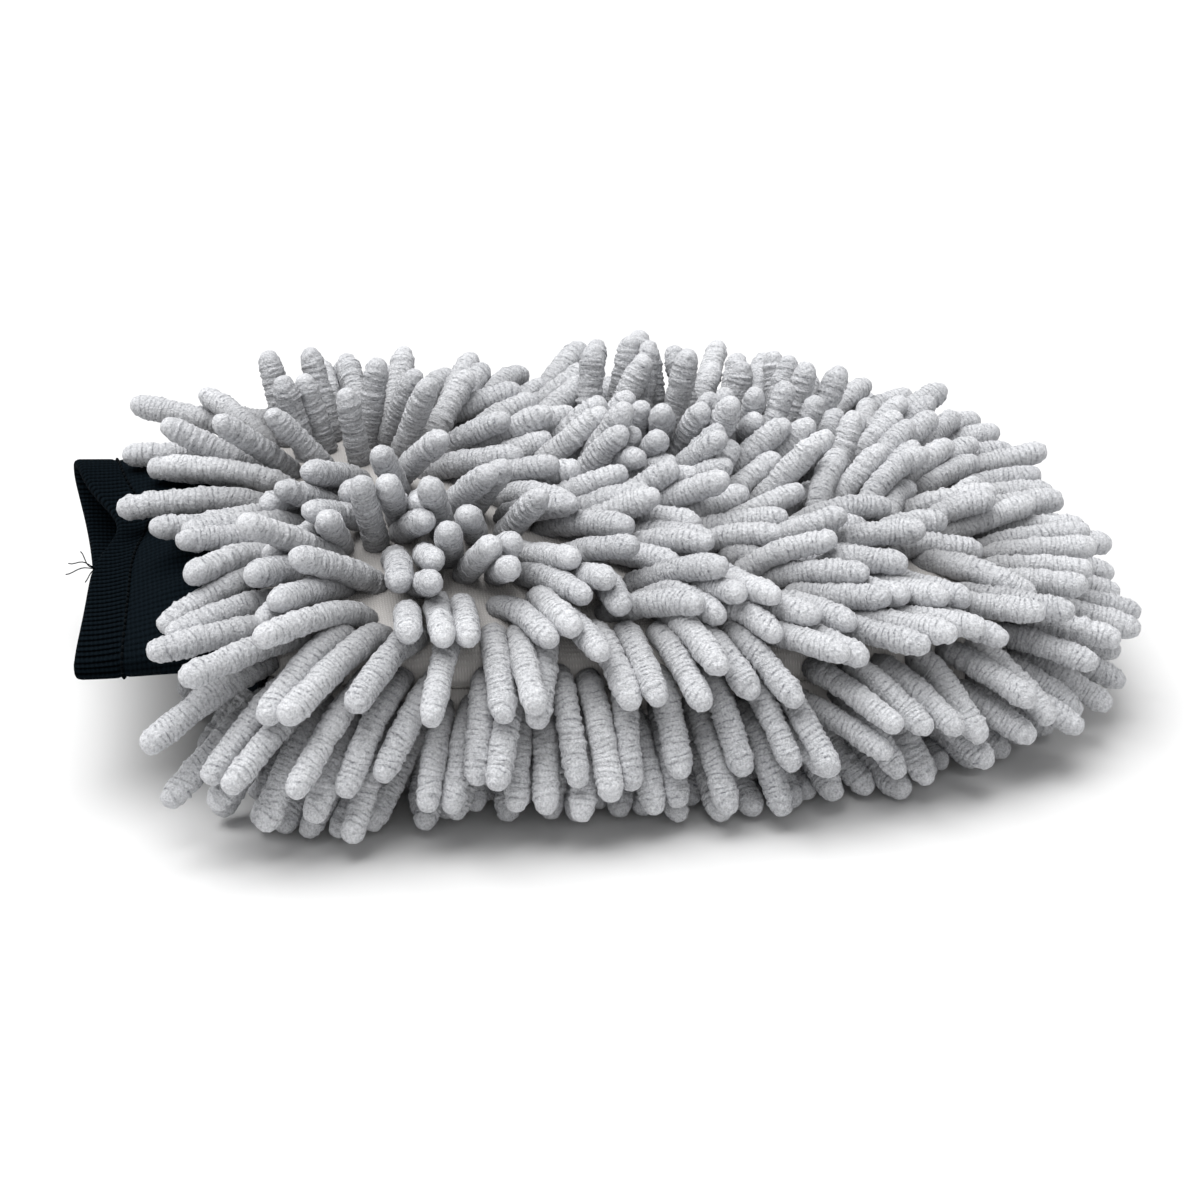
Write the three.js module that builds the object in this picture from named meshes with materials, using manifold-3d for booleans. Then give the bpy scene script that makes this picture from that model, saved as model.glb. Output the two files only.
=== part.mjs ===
// A chenille car-wash mitt: a padded pouch with rows of soft chenille fingers on
// both faces and round its rim, and a doubled rib-knit cuff sewn to its wrist.
// Millimetres, +Z up. +X points from the cuff to the finger end. The mitt rests
// on the fingers of its lower face, and the origin is at the middle of its base.
import * as THREE from "three";
import { mergeVertices } from "three/addons/utils/BufferGeometryUtils.js";
import Module from "manifold-3d";

// Driving dimensions. While it is modelled, x = 0 is the wrist seam.
const CLEAR = 0.5; // gap between neighbours that touch
const SEAM_HEIGHT = 36; // of the rim seam above the floor, at the widest place
const TILT = 0.06; // the whole mitt slopes down by this much towards its finger end
const POUCH = {
  centre: 92, // from the wrist seam to the widest place
  halfWidth: 80,
  rise: 18, // of the upper face above the rim seam, and of the lower one below it
  crown: 3, // roundness of the section
};
// The outline on either side of the widest place. corner is its roundness: 2 is
// an ellipse, and more is squarer. The wrist side is cut open at the wrist seam.
const FINGER_SIDE = { length: 122, corner: 3.2 };
const WRIST_SIDE = { length: 112, corner: 4.5 };
const WRIST_TAPER = { height: 0.8, length: 55 }; // the pouch thins towards the wrist
const LAYERS = { panel: 1.8, padding: 3, lining: 1 };
const SEAM = { thickness: 1.2, inset: 0.4, depth: 8 };
const PILE = {
  thickness: 7,
  pitch: 10,
  gap: 2.6, // between two fingers of a row
  base: 2, // of the stitched strip that joins them
  height: 20,
  rowPitch: 12.6,
  rows: 11,
};
const FRINGE = { reach: 22, base: 2, pitch: 10.6, gap: 3, arc: 0.93, steps: 60 };
const CUFF = {
  mouth: -48, // x of the open end
  end: -7, // x of the end at the wrist
  halfWidth: 58,
  halfHeight: 12,
  corner: 2.6,
  wall: 1.6, // of each of the two layers of knit
  pocket: 1.9, // between them, for the elastic
};
const ELASTIC = { width: 10, thickness: 1.1, inset: 3 };
const WRIST_SEAM = { start: -2.2, end: -0.4, proud: 1.2, depth: 4.5 };
const HEM_STITCH = { x: -35, width: 1.2, thickness: 0.9, lift: 0.4 };

const OUTLINE_STEPS = 36;
const DOME_STEPS = 5;
const CUFF_STEPS = 36;
const ROW_REACH = 0.87; // rows stop at this share of the way from the middle to the rim
const ROW_START = 4; // and this near to the wrist seam
const FAR = 400; // beyond everything

const fabric = (colour, roughness) =>
  new THREE.MeshStandardMaterial({ color: colour, roughness, metalness: 0 });
const CHENILLE = fabric(0xd3d4d8, 0.95);
const BACKING = fabric(0xb9b5af, 0.9);
const PADDING = fabric(0xe8e6e0, 0.95);
const LINING = fabric(0x8d8c8a, 0.9);
const KNIT = fabric(0x11171b, 0.9);
const ELASTIC_WEB = fabric(0x1b1d1f, 0.8);
const PALE_THREAD = fabric(0xc4c2bd, 0.8);
const BLACK_THREAD = fabric(0x0b0e10, 0.8);

const wasm = await Module();
wasm.setup();

function solid(geometry) {
  const bare = geometry.clone();
  bare.deleteAttribute("normal");
  bare.deleteAttribute("uv");
  const merged = mergeVertices(bare, 1e-3);
  return new wasm.Manifold(
    new wasm.Mesh({
      numProp: 3,
      vertProperties: new Float32Array(merged.getAttribute("position").array),
      triVerts: new Uint32Array(merged.index.array),
    }),
  );
}

function geometryOf(manifold) {
  const made = manifold.getMesh();
  const geometry = new THREE.BufferGeometry();
  geometry.setAttribute("position", new THREE.BufferAttribute(made.vertProperties, 3));
  geometry.setIndex(new THREE.BufferAttribute(made.triVerts, 1));
  geometry.computeVertexNormals();
  return geometry;
}

// Each piece is shaped level, and then sloped with the rest of the mitt.
const SLOPE = new THREE.Matrix4();
SLOPE.set(1, 0, 0, 0, 0, 1, 0, 0, -TILT, 0, 1, TILT * POUCH.centre, 0, 0, 0, 1);

const mitt = new THREE.Group();

function add(name, shape, material) {
  const geometry = shape instanceof THREE.BufferGeometry ? shape : geometryOf(shape);
  geometry.applyMatrix4(SLOPE);
  const mesh = new THREE.Mesh(geometry, material);
  mesh.name = name;
  mitt.add(mesh);
}

// A box between two corners, as a solid to cut with.
function block(low, high) {
  const size = high.map((value, axis) => value - low[axis]);
  const middle = high.map((value, axis) => (value + low[axis]) / 2);
  return solid(new THREE.BoxGeometry(...size).translate(...middle));
}

const smooth = (t) => t * t * (3 - 2 * t);
const power = (value, exponent) => Math.sign(value) * Math.abs(value) ** exponent;

// The pouch's outline at a direction from its centre, grown outwards by grow.
function outline(angle, grow = 0) {
  const along = Math.cos(angle);
  const side = along > 0 ? FINGER_SIDE : WRIST_SIDE;
  const exponent = 2 / side.corner;
  return new THREE.Vector2(
    POUCH.centre + (side.length + grow) * power(along, exponent),
    (POUCH.halfWidth + grow) * power(Math.sin(angle), exponent),
  );
}

// 0 at the pouch's centre and 1 at its rim.
function rimShare(x, y) {
  const { length, corner } = x > POUCH.centre ? FINGER_SIDE : WRIST_SIDE;
  return (
    Math.abs((x - POUCH.centre) / length) ** corner +
    Math.abs(y / POUCH.halfWidth) ** corner
  ) ** (1 / corner);
}

function taper(x) {
  const share = Math.min(1, Math.max(0, x / WRIST_TAPER.length));
  return WRIST_TAPER.height + (1 - WRIST_TAPER.height) * smooth(share);
}

const crownAt = (share) => Math.max(0, 1 - share ** POUCH.crown) ** (1 / POUCH.crown);
const rimAt = (height) => (1 - (height / POUCH.rise) ** POUCH.crown) ** (1 / POUCH.crown);
const riseAt = (x, y) => POUCH.rise * taper(x) * crownAt(rimShare(x, y));

// A closed pillow: the pouch's whole outer shape, shrunk by inset on every side.
function pillow(inset) {
  const points = [];
  const faces = [];
  const ring = (level) => {
    const turn = ((level / DOME_STEPS) * Math.PI) / 2;
    const share = power(Math.cos(turn), 2 / POUCH.crown);
    const height = (POUCH.rise - inset) * power(Math.sin(turn), 2 / POUCH.crown);
    for (let i = 0; i < OUTLINE_STEPS; i++) {
      const edge = outline((2 * Math.PI * i) / OUTLINE_STEPS, -inset);
      const x = POUCH.centre + share * (edge.x - POUCH.centre);
      points.push(x, share * edge.y, SEAM_HEIGHT + height * taper(x));
    }
  };
  for (let level = 1 - DOME_STEPS; level < DOME_STEPS; level++) ring(level);
  const rings = 2 * DOME_STEPS - 1;
  const top = rings * OUTLINE_STEPS;
  const poleHeight = (POUCH.rise - inset) * taper(POUCH.centre);
  points.push(POUCH.centre, 0, SEAM_HEIGHT + poleHeight);
  points.push(POUCH.centre, 0, SEAM_HEIGHT - poleHeight);
  for (let i = 0; i < OUTLINE_STEPS; i++) {
    const next = (i + 1) % OUTLINE_STEPS;
    for (let r = 0; r < rings - 1; r++) {
      const low = r * OUTLINE_STEPS;
      const high = low + OUTLINE_STEPS;
      faces.push(low + i, low + next, high + next, low + i, high + next, high + i);
    }
    const last = (rings - 1) * OUTLINE_STEPS;
    faces.push(last + i, last + next, top, next, i, top + 1);
  }
  const geometry = new THREE.BufferGeometry();
  geometry.setAttribute("position", new THREE.Float32BufferAttribute(points, 3));
  geometry.setIndex(faces);
  return solid(geometry);
}

// One layer of the pouch's wall, from one depth to another, as its upper and lower halves.
function addLayer(names, outerDepth, innerDepth, material) {
  const shell = pillow(outerDepth).subtract(pillow(innerDepth));
  const split = SEAM.thickness / 2 + CLEAR;
  const above = block([0, -FAR, SEAM_HEIGHT + split], [FAR, FAR, FAR]);
  const below = block([0, -FAR, -FAR], [FAR, FAR, SEAM_HEIGHT - split]);
  add(names[0], shell.intersect(above), material);
  add(names[1], shell.intersect(below), material);
}

function addPouch() {
  const padding = LAYERS.panel + CLEAR;
  const lining = padding + LAYERS.padding + CLEAR;
  addLayer(["upper_panel", "lower_panel"], 0, LAYERS.panel, BACKING);
  addLayer(["upper_padding", "lower_padding"], padding, padding + LAYERS.padding, PADDING);
  addLayer(["upper_lining", "lower_lining"], lining, lining + LAYERS.lining, LINING);
}

// The rim seam: the edges of all the layers, pinched flat between the two halves.
function addRimSeam() {
  const sweep = Math.PI * FRINGE.arc;
  const points = [];
  for (let i = 0; i <= OUTLINE_STEPS; i++) {
    const angle = -sweep + (2 * sweep * i) / OUTLINE_STEPS;
    points.push(outline(angle, -SEAM.inset));
    points.unshift(outline(angle, -SEAM.depth));
  }
  const strip = new THREE.ExtrudeGeometry(new THREE.Shape(points), {
    depth: SEAM.thickness,
    bevelEnabled: false,
  });
  strip.translate(0, 0, SEAM_HEIGHT - SEAM.thickness / 2);
  add("rim_seam", solid(strip).intersect(block([0, -FAR, 0], [FAR, FAR, FAR])), PALE_THREAD);
}

// A row of fingers on a face, seen from its side: a tooth for each finger, on a
// stitched base that follows the pouch. side is 1 on the upper face, -1 on the lower.
function addRow(name, y, side) {
  const inner = Math.max(0, Math.abs(y) - PILE.thickness / 2);
  const outer = Math.abs(y) + PILE.thickness / 2;
  const base = (x) => SEAM_HEIGHT + side * (riseAt(x, inner) + CLEAR);
  // The lower fingers all end on the floor, once the mitt slopes.
  const tip = (x) => (side > 0 ? base(x) + PILE.height : TILT * (x - POUCH.centre));
  let [start, end] = [POUCH.centre, POUCH.centre];
  while (rimShare(end, outer) < ROW_REACH) end += 1;
  while (rimShare(start, outer) < ROW_REACH && start > ROW_START) start -= 1;
  const count = Math.floor((end - start) / PILE.pitch);
  const finger = PILE.pitch - PILE.gap;
  const foot = (x) => base(x) + side * PILE.base;
  const below = [];
  const teeth = [];
  for (let i = 0; i < count; i++) {
    const x = start + i * PILE.pitch;
    if (i % 2 === 0) below.push([x, base(x)]);
    teeth.push([x, foot(x)], [x, tip(x)]);
    teeth.push([x + finger, tip(x + finger)], [x + finger, foot(x + finger)]);
  }
  const last = teeth[teeth.length - 1][0];
  below.push([last, base(last)]);
  const shape = new THREE.Shape(
    [...below, ...teeth.reverse()].map(([x, z]) => new THREE.Vector2(x, z)),
  );
  const row = new THREE.ExtrudeGeometry(shape, { depth: PILE.thickness, bevelEnabled: false });
  row.rotateX(Math.PI / 2).translate(0, y + PILE.thickness / 2, 0);
  add(name, row, CHENILLE);
}

function addFaces() {
  for (let i = 0; i < PILE.rows; i++) {
    const y = (i - (PILE.rows - 1) / 2) * PILE.rowPitch;
    const label = String(i + 1).padStart(2, "0");
    addRow(`upper_finger_row_${label}`, y, 1);
    addRow(`lower_finger_row_${label}`, y, -1);
  }
}

// A tier of fingers standing out from the rim between two directions, seen from above.
function addFringe(name, from, to, low, grow) {
  const rim = [];
  for (let i = 0; i <= FRINGE.steps; i++)
    rim.push(outline(from + ((to - from) * i) / FRINGE.steps, grow));
  const arc = new THREE.Path(rim);
  const count = Math.round(arc.getLength() / FRINGE.pitch);
  const finger = 1 - FRINGE.gap / FRINGE.pitch;
  const inside = [];
  const teeth = [];
  for (let i = 0; i < count; i++) {
    const a = arc.getPointAt(i / count);
    const b = arc.getPointAt((i + finger) / count);
    const middle = (i + finger / 2) / count;
    const along = arc.getPointAt(middle + 1e-3).sub(arc.getPointAt(middle - 1e-3)).normalize();
    const out = new THREE.Vector2(along.y, -along.x);
    const past = (point, reach) => point.clone().addScaledVector(out, reach);
    inside.push(a, b);
    teeth.push(past(a, FRINGE.base), past(a, FRINGE.reach));
    teeth.push(past(b, FRINGE.reach), past(b, FRINGE.base));
  }
  const shape = new THREE.Shape([...inside, ...teeth.reverse()]);
  const tier = new THREE.ExtrudeGeometry(shape, { depth: PILE.thickness, bevelEnabled: false });
  add(name, tier.translate(0, 0, low), CHENILLE);
}

// Four tiers round the rim, two above the seam and two below, each in five lengths.
function addFringes() {
  const lift = SEAM.thickness / 2 + CLEAR + 0.3;
  const second = lift + PILE.thickness + CLEAR;
  const narrower = POUCH.halfWidth * (rimAt(second) - 1);
  const tiers = [
    ["upper_fringe_outer", SEAM_HEIGHT + lift, 0],
    ["upper_fringe_inner", SEAM_HEIGHT + second, narrower],
    ["lower_fringe_outer", SEAM_HEIGHT - lift - PILE.thickness, 0],
    ["lower_fringe_inner", SEAM_HEIGHT - second - PILE.thickness, narrower],
  ];
  const corners = [-0.76, -0.44, -0.2, 0.2, 0.44, 0.76].map((share) => share * Math.PI);
  const lengths = ["front", "front_corner", "finger_end", "back_corner", "back"];
  const seam = 0.005 * Math.PI;
  for (const [tier, low, grow] of tiers)
    lengths.forEach((length, i) =>
      addFringe(`${tier}_${length}`, corners[i] + seam, corners[i + 1] - seam, low, grow + CLEAR),
    );
}

// A closed slug of the cuff's flattened section, shrunk by inset, between two places.
function slug(inset, from, to) {
  const shape = new THREE.Shape();
  for (let i = 0; i < CUFF_STEPS; i++) {
    const angle = (2 * Math.PI * i) / CUFF_STEPS;
    const y = (CUFF.halfWidth - inset) * power(Math.cos(angle), 2 / CUFF.corner);
    const z = (CUFF.halfHeight - inset) * power(Math.sin(angle), 2 / CUFF.corner);
    if (i) shape.lineTo(y, z);
    else shape.moveTo(y, z);
  }
  shape.closePath();
  const made = new THREE.ExtrudeGeometry(shape, { depth: to - from, bevelEnabled: false });
  // The section's own x and y become y and z, and its depth runs along x.
  const turn = new THREE.Matrix4().makeBasis(
    new THREE.Vector3(0, 1, 0),
    new THREE.Vector3(0, 0, 1),
    new THREE.Vector3(1, 0, 0),
  );
  return solid(made.applyMatrix4(turn).translate(from, 0, SEAM_HEIGHT));
}

const sleeve = (outer, inner, from, to) =>
  slug(outer, from, to).subtract(slug(inner, from - 1, to + 1));

function addCuff() {
  const inside = 2 * CUFF.wall + CUFF.pocket;
  const knit = sleeve(0, inside, CUFF.mouth, CUFF.end).subtract(
    sleeve(CUFF.wall, CUFF.wall + CUFF.pocket, CUFF.mouth + CUFF.wall, CUFF.end + 1),
  );
  add("cuff_rib_knit", knit, KNIT);
  const start = CUFF.mouth + ELASTIC.inset;
  const depth = CUFF.wall + (CUFF.pocket - ELASTIC.thickness) / 2;
  const elastic = sleeve(depth, depth + ELASTIC.thickness, start, start + ELASTIC.width);
  add("cuff_elastic", elastic, ELASTIC_WEB);
  const from = HEM_STITCH.x - HEM_STITCH.width / 2;
  const outside = -HEM_STITCH.lift - HEM_STITCH.thickness;
  const stitch = sleeve(outside, -HEM_STITCH.lift, from, from + HEM_STITCH.width);
  add("cuff_hem_stitching", stitch, BLACK_THREAD);
}

function addWristSeam() {
  const { start, end, proud, depth } = WRIST_SEAM;
  add("wrist_seam", sleeve(-proud, depth, start, end), BLACK_THREAD);
}

addPouch();
addRimSeam();
addFaces();
addFringes();
addCuff();
addWristSeam();

const bounds = new THREE.Box3().setFromObject(mitt);
const middle = bounds.getCenter(new THREE.Vector3());
mitt.position.set(-middle.x, -middle.y, -bounds.min.z);

export default mitt;
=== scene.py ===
"""A chenille car-wash mitt: a padded pouch with soft fingers stitched over both
faces and round its rim, and a doubled rib-knit cuff gathered into its wrist."""

import math

import bpy
import numpy as np
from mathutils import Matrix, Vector
from mathutils.kdtree import KDTree


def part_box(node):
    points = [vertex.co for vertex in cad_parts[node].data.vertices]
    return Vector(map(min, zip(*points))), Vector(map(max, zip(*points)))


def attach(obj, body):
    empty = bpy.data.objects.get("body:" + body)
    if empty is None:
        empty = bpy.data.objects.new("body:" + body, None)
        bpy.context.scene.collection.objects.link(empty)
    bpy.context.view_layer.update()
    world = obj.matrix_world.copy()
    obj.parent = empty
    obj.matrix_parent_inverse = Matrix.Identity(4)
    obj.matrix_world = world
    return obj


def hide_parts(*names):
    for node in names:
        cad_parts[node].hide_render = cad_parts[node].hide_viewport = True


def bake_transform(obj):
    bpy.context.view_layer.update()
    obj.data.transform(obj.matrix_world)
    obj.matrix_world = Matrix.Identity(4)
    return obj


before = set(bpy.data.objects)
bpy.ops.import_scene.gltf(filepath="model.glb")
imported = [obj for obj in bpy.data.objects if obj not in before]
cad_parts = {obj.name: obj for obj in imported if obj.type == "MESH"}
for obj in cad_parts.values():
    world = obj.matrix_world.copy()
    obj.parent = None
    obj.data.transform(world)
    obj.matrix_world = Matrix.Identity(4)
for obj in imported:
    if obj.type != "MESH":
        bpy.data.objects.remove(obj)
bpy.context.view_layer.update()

SEED = 7
rng = np.random.default_rng(SEED)
scene = bpy.context.scene

# ---------------------------------------------------------------- measurements
# Everything is worked out in millimetres. x is 0 at the wrist seam and grows
# towards the finger end, y is 0 along the middle, and z is 0 on the table.
MM = 0.001
WRIST_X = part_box("upper_panel")[0].x

SEAM_HEIGHT = 36.0  # of the rim seam above the table, at the widest place
TILT = 0.06  # the mitt slopes down by this much towards its finger end
WIDEST = 92.0  # from the wrist seam to the widest place
HALF_WIDTH = 80.0
RISE = 18.0  # of each face from the rim seam
FINGER_SIDE = (122.0, 3.2)  # length from the widest place, and squareness
WRIST_SIDE = (112.0, 4.5)
CROWN = 3.0  # roundness of the pouch's section
WRIST_THICKNESS = 0.8  # share of the full thickness
WRIST_TAPER = 55.0
WRIST_HALF_WIDTH = 71.0  # of the pouch, at the wrist seam

ROWS = 11  # of fingers, on each face
ROW_PITCH = 12.6
STITCH_PITCH = 8.8  # from finger to finger along a row
STITCH_GAP = 2.6  # from the end of a row to where its next finger would be
ROW_MARGIN = 3.7  # from the end of a row to the middle of its last finger
FRINGE_PITCH = 9.8
FRINGE_FIRST = 3.0  # no finger springs nearer the wrist seam than this
FAN_MIDDLE = 75.0  # where the fringe hangs straight out
FRINGE_ENDS = [-0.76, -0.44, -0.2, 0.2, 0.44, 0.76]  # in half turns
FRINGE_LENGTHS = ["front", "front_corner", "finger_end", "back_corner", "back"]
FRINGE_TIERS = [
    # name, face, height from the seam, droop
    ("upper_fringe_outer", 1, 4.6, 0.35),
    ("upper_fringe_inner", 1, 11.8, 0.20),
    ("lower_fringe_outer", -1, 5.0, 0.35),
    ("lower_fringe_inner", -1, 12.6, 0.45),
]

BEADS = 9  # points along a finger
FINGER_RADIUS = 3.5
FINGER_LENGTH = 34.0
WRIST_EXTRA = 11.0  # on the fingers that lie over the cuff
STANDING_LESS = 10.0  # off the fingers that stand upright, per unit of stiffness
TABLE_GAP = 0.6  # for the nap of the fingers that lie on the table
ROOT_DEPTH = 1.0  # of a finger's root below the cloth

SETTLE_TURNS = 420
NEIGHBOUR_REACH = 9.5
NEIGHBOUR_EVERY = 8  # turns between looks for neighbours
GRAVITY = 0.018  # millimetres a turn, each turn
COMBING = 0.016  # the same, along the way the pile lies
LASTING = 0.86  # share of a bead's drift that it keeps each turn
FASTEST = 1.2  # millimetres a turn
ROOT_HOLDS = ((1, 0.6), (2, 0.2), (3, 0.06))  # bead, and how firmly it keeps its direction

CUFF_MOUTH = -48.0
CUFF_HALF_WIDTH = 58.0
CUFF_HALF_HEIGHT = 12.0
CUFF_ROUNDNESS = 2.6
CUFF_LAYER = 1.1  # thickness of one layer of knit
CUFF_FOLD = 1.7  # half the thickness of the doubled knit
HEM_X = -35.5  # the line of stitches that closes the hem
RIB_HEIGHT = 0.24
HEM_RIB_EXTRA = 0.34  # how much prouder the ribs stand in the hem
HEM_STITCHES = 96
OVERLOCK_LOOPS = 130

# Depths of each layer of the pouch below its face: outside, inside.
COVER = (0.0, 1.8)
WADDING_LAYER = (2.4, 5.2)
POCKET_LINING = (5.8, 6.8)

# Two places on the cuff, just past the wrist seam.
FLEX_START = -0.5
FLEX_END = -9.0


def in_frame(points):
    """Millimetres from the wrist seam, as metres in the mitt's frame."""
    moved = np.array(points, float).reshape(-1, 3) * MM
    moved[:, 0] += WRIST_X
    return moved


def spot(x, y, z):
    return Vector(in_frame([x, y, z])[0])


def unit(v):
    return v / np.maximum(np.linalg.norm(v, axis=-1, keepdims=True), 1e-9)


def ease(t):
    t = np.clip(t, 0, 1)
    return t * t * (3 - 2 * t)


def bell(t):
    return np.exp(-t * t)


def rounded(value, squareness):
    """A sine or cosine, bent to make a rounded rectangle instead of a circle."""
    return np.sign(value) * np.abs(value) ** (2 / squareness)


# ---------------------------------------------------------------------- camera
def place_camera(azimuth, elevation, distance, target, lens):
    camera = bpy.data.objects.new("camera", bpy.data.cameras.new("camera"))
    scene.collection.objects.link(camera)
    turn, lift = math.radians(azimuth), math.radians(elevation)
    back = Vector((
        math.sin(turn) * math.cos(lift),
        -math.cos(turn) * math.cos(lift),
        math.sin(lift),
    ))
    camera.location = spot(*target) + back * distance * MM
    camera.rotation_euler = (-back).to_track_quat("-Z", "Y").to_euler()
    camera.data.sensor_width = 36
    camera.data.lens = lens
    camera.data.clip_start = 0.01
    scene.camera = camera


place_camera(azimuth=-8.5, elevation=26.5, distance=866, target=(97.5, 0, 21.5), lens=92)


# ------------------------------------------------------------ the pouch's shape
def side_of(x):
    """Length and squareness of the outline, on the side of the widest place that x is."""
    past = np.asarray(x) > WIDEST
    return (
        np.where(past, FINGER_SIDE[0], WRIST_SIDE[0]),
        np.where(past, FINGER_SIDE[1], WRIST_SIDE[1]),
    )


def outline(angle, grow=0.0):
    """The pouch's edge at a direction from its widest place."""
    length, squareness = side_of(WIDEST + np.cos(angle))
    x = WIDEST + (length + grow) * rounded(np.cos(angle), squareness)
    y = (HALF_WIDTH + grow) * rounded(np.sin(angle), squareness)
    return x, y


def rim_share(x, y):
    """0 at the pouch's middle and 1 at its rim."""
    length, squareness = side_of(x)
    along = np.abs((x - WIDEST) / length) ** squareness
    across = np.abs(y / HALF_WIDTH) ** squareness
    return (along + across) ** (1 / squareness)


def seam_at(x):
    return SEAM_HEIGHT + TILT * (WIDEST - x)


def thickness_at(x):
    return RISE * (WRIST_THICKNESS + (1 - WRIST_THICKNESS) * ease(x / WRIST_TAPER))


def rise_at(x, y, depth=0.0):
    """Height of the pouch's face above its rim seam, or of a layer depth below it."""
    crown = np.maximum(0, 1 - rim_share(x, y) ** CROWN)
    return (thickness_at(x) - depth) * crown ** (1 / CROWN)


def pouch_gauge(p):
    """Under 1 inside the pouch and over 1 outside it."""
    share = rim_share(p[..., 0], p[..., 1])
    height = np.abs(p[..., 2] - seam_at(p[..., 0])) / thickness_at(p[..., 0])
    return (share**CROWN + height**CROWN) ** (1 / CROWN)


# ------------------------------------------------------------- the cuff's shape
def openness(x):
    """0 at the wrist and 1 at the cuff's mouth."""
    return ease(x / CUFF_MOUTH)


def cuff_middle(x, y):
    """Height of the flattened cuff's middle, which twists towards its mouth."""
    return seam_at(x) + openness(x) * (3 * y / CUFF_HALF_WIDTH - 1)


def cuff_gauge(p):
    x, y = p[..., 0], p[..., 1]
    across = np.abs(y / CUFF_HALF_WIDTH) ** CUFF_ROUNDNESS
    half = CUFF_HALF_HEIGHT * (1 - 0.25 * openness(x)) + 1
    height = np.abs((p[..., 2] - cuff_middle(x, y)) / half) ** CUFF_ROUNDNESS
    return (across + height) ** (1 / CUFF_ROUNDNESS)


def cuff_point(x, around, inset):
    """A place on the doubled knit, inset from its outside, at a turn round it."""
    c, s = np.cos(around), np.sin(around)
    y = (CUFF_HALF_WIDTH - inset) * rounded(c, CUFF_ROUNDNESS)
    z = (CUFF_HALF_HEIGHT - inset) * rounded(s, CUFF_ROUNDNESS) * (1 - 0.25 * openness(x))
    # At the wrist it opens out to the pouch's own section.
    sewn = ease((x + 11) / 10.5)
    pouch_y = (WRIST_HALF_WIDTH - 1.5 - inset) * rounded(c, CROWN)
    pouch_z = np.sign(s) * np.maximum(rise_at(0 * pouch_y, pouch_y) - inset, 0.3)
    y = y + (pouch_y - y) * sewn
    z = z + (pouch_z - z) * sewn
    # Gathers run from the wrist into the hem band.
    gather = ease((x + 37) / 30) * (1 - 0.5 * sewn)
    folds = np.sin(around * 15 + 0.9 * np.sin(around * 4 + x * 0.05) + x * 0.02 * c)
    z = z + gather * 0.9 * folds * np.sign(s) * np.clip(np.abs(s) * 3, 0, 1)
    # The mouth's lips curve inwards, and the upper one sags and folds back.
    lip = ease((-x - 18) / 28)
    upper = np.clip(s * 4, 0, 1)
    sag = bell((y - 14) / 24)
    z = z - lip * upper * (3.0 * bell((y + 20) / 40) + 2.2 * sag)
    z = z + cuff_middle(x, y)
    pull = 5.0 * (1 - (y / CUFF_HALF_WIDTH) ** 2) + upper * 7.5 * bell((y - 12) / 17)
    return np.stack([x + lip * pull + 0 * y, y, z], -1)


def slope_of(gauge, p, step=0.2):
    """How fast a gauge grows along each axis."""
    slopes = []
    for axis in range(3):
        shift = np.zeros(3)
        shift[axis] = step
        slopes.append((gauge(p + shift) - gauge(p - shift)) / (2 * step))
    return np.stack(slopes, -1)


def push_out(gauge, p, gap, where):
    """Moves points that are nearer than gap to a body, or in it, out of it."""
    near = np.nonzero(where)[0]
    q = p[near]
    slope = slope_of(gauge, q)
    steep = np.maximum(np.linalg.norm(slope, axis=-1), 1e-4)
    depth = gap - (gauge(q) - 1) / steep
    pushed = np.clip(depth, 0, 4)[:, None] * slope / steep[:, None]
    p[near] = q + pushed


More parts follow.
